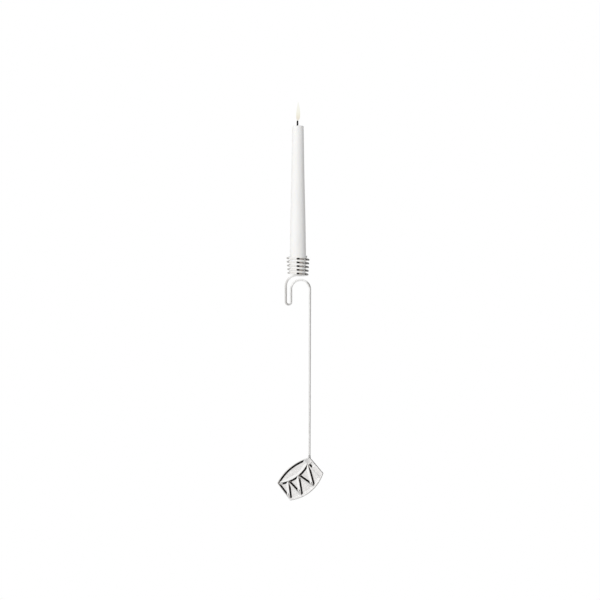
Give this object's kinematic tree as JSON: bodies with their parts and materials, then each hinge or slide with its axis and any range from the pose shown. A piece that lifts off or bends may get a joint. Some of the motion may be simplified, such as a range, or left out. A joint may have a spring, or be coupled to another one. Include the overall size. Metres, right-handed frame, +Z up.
{
  "type": "candle holder",
  "caption": "Counterweighted wire candle holder that hooks over a tree branch, with a coiled socket, a slim candle and a cast drum weight.",
  "frame": {"origin": "underside of the crown of the hook's arch, where the branch bears", "axes": "+Z up along the candle, -Y to the front that shows the drum's face, +X to the side of the weight's rod"},
  "size_m": [0.0375, 0.0187, 0.3044],
  "materials": {
    "wire": "bright silver plate on brass wire",
    "solder": "dull tin solder",
    "cast_metal": "silver plate on cast brass, polished rims and finely grained satin panels",
    "wax": null,
    "wick": "charred braided cotton"
  },
  "bodies": {
    "holder": {"socket_coil": "wire", "hanger_hook": "wire", "pendulum_rod": "wire", "solder_fillet": "solder", "drum_weight": "cast_metal"},
    "candle_body": {"candle": "wax", "wick": "wick"}
  },
  "joints": [
    {"name": "candle_lift", "type": "slide", "parent": "holder", "child": "candle_body", "axis": [0, 0, 1], "range_m": [0, 0.022]}
  ]
}
